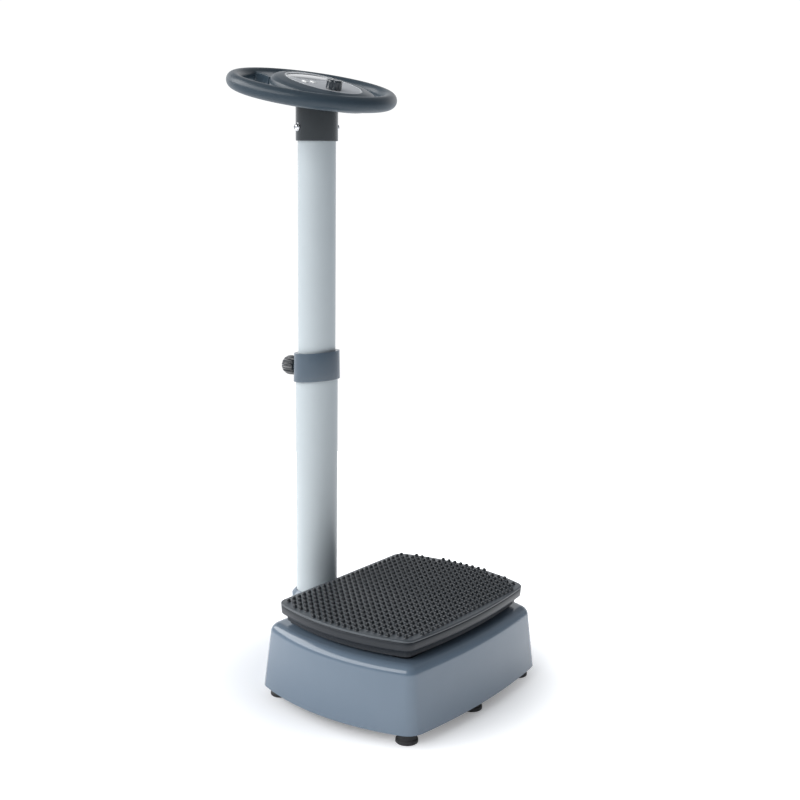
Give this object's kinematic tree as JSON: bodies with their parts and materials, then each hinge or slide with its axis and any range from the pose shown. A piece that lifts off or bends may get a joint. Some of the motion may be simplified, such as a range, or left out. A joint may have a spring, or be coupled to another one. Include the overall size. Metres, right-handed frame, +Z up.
{
  "type": "vibration plate",
  "caption": "Rocking vibration platform on a moulded base, with a telescopic column that carries a steering-wheel handle and a console.",
  "frame": {"origin": "on the floor below the middle of the object's bounding box", "axes": "+X to the user's right, +Y from the user towards the column, +Z up"},
  "size_m": [0.4442, 0.5469, 1.093],
  "materials": {
    "blue_grey_gloss": "gloss moulded plastic",
    "dark_grey_plastic": "satin moulded plastic",
    "socket_grey": "semi-gloss moulded plastic",
    "tube_enamel": "satin silver enamel on steel tube",
    "black_rubber": "plain rubber",
    "mat_rubber": "studded dark grey rubber",
    "black_plastic": "satin black plastic",
    "white_plastic": "satin white plastic",
    "panel_silver": "silver-painted plastic",
    "display_glass": "tinted clear window",
    "chrome": "bright chrome",
    "steel": "machined steel",
    "black_steel": "black powder coat on steel",
    "cast_alloy": "cast and machined aluminium",
    "nylon": "natural nylon",
    "board_green": "printed circuit board"
  },
  "bodies": {
    "base": {"base_cover": "blue_grey_gloss", "base_plate": "black_steel", "column_flange": "black_steel", "control_board": "board_green", "control_box": "black_plastic", "drive_belt": "black_rubber", "flange_bolt_1": "steel", "flange_bolt_2": "steel", "flange_bolt_3": "steel", "flange_bolt_4": "steel", "foot_front_left": "black_rubber", "foot_front_middle": "black_rubber", "foot_front_right": "black_rubber", "foot_rear_left": "black_rubber", "foot_rear_middle": "black_rubber", "foot_rear_right": "black_rubber", "guide_bush": "nylon", "height_collar": "blue_grey_gloss", "lower_tube": "tube_enamel", "motor": "black_steel", "motor_bracket": "steel", "pivot_bearing_front": "steel", "pivot_bearing_rear": "steel", "pivot_stand_front": "black_steel", "pivot_stand_rear": "black_steel", "power_inlet": "black_plastic", "shaft_bearing_left": "cast_alloy", "shaft_bearing_right": "cast_alloy"},
    "platform": {"platform_tray": "dark_grey_plastic", "foot_mat": "mat_rubber", "platform_skirt": "dark_grey_plastic", "platform_frame": "black_steel", "pivot_shaft": "steel", "drive_link_left": "cast_alloy", "drive_link_right": "cast_alloy"},
    "eccentric": {"eccentric_shaft": "steel", "drive_pulley": "cast_alloy"},
    "motor_rotor": {"motor_shaft": "steel", "motor_pulley": "cast_alloy"},
    "mast": {"upper_tube": "tube_enamel", "slider_bush": "nylon", "wheel_socket": "socket_grey", "steering_wheel": "blue_grey_gloss", "console_bottom": "socket_grey", "console_panel": "panel_silver", "display_window": "display_glass", "console_board": "board_green", "dial_sensor": "black_plastic", "socket_screw_left": "chrome", "socket_screw_right": "chrome"},
    "pad": {"clamp_pad": "nylon"},
    "hand_screw": {"clamp_stud": "steel", "clamp_knob": "black_plastic"},
    "dial": {"speed_dial": "black_plastic"},
    "start_key": {"key_start": "white_plastic"},
    "mode_key": {"key_mode": "white_plastic"}
  },
  "joints": [
    {"name": "platform_rock", "type": "hinge", "parent": "base", "child": "platform", "pos_m": [0, 0, 0.104], "axis": [0, 1, 0], "range_deg": [-1.4, 1.4]},
    {"name": "eccentric_spin", "type": "hinge", "parent": "base", "child": "eccentric", "pos_m": [0, -0.105, 0.06], "axis": [1, 0, 0], "continuous": true},
    {"name": "motor_spin", "type": "hinge", "parent": "base", "child": "motor_rotor", "pos_m": [0, 0, 0.062], "axis": [1, 0, 0], "continuous": true},
    {"name": "mast_slide", "type": "slide", "parent": "base", "child": "mast", "axis": [0, 0, 1], "range_m": [-0.3, 0.05]},
    {"name": "pad_slide", "type": "slide", "parent": "base", "child": "pad", "axis": [0, 1, 0], "range_m": [0, 0.00125]},
    {"name": "hand_screw_turn", "type": "hinge", "parent": "pad", "child": "hand_screw", "pos_m": [0, 0.1127, 0.5568], "axis": [0, 1, 0], "range_deg": [0, 360]},
    {"name": "dial_turn", "type": "hinge", "parent": "mast", "child": "dial", "pos_m": [-0.03227, 0.04724, 1.04811], "axis": [-0.0628, -0.2378, 0.9693], "range_deg": [-270, 0]},
    {"name": "start_key_press", "type": "slide", "parent": "mast", "child": "start_key", "axis": [0.0628, 0.2378, -0.9693], "range_m": [0, 0.0008], "stiffness_N_per_m": 400, "springref_m": -0.0005},
    {"name": "mode_key_press", "type": "slide", "parent": "mast", "child": "mode_key", "axis": [0.0628, 0.2378, -0.9693], "range_m": [0, 0.0008], "stiffness_N_per_m": 400, "springref_m": -0.0005}
  ],
  "couplings": [
    {"joint": "motor_spin", "follows": "eccentric_spin", "ratio": 2},
    {"joint": "pad_slide", "follows": "hand_screw_turn", "m_per_rad": 0.00019894}
  ]
}
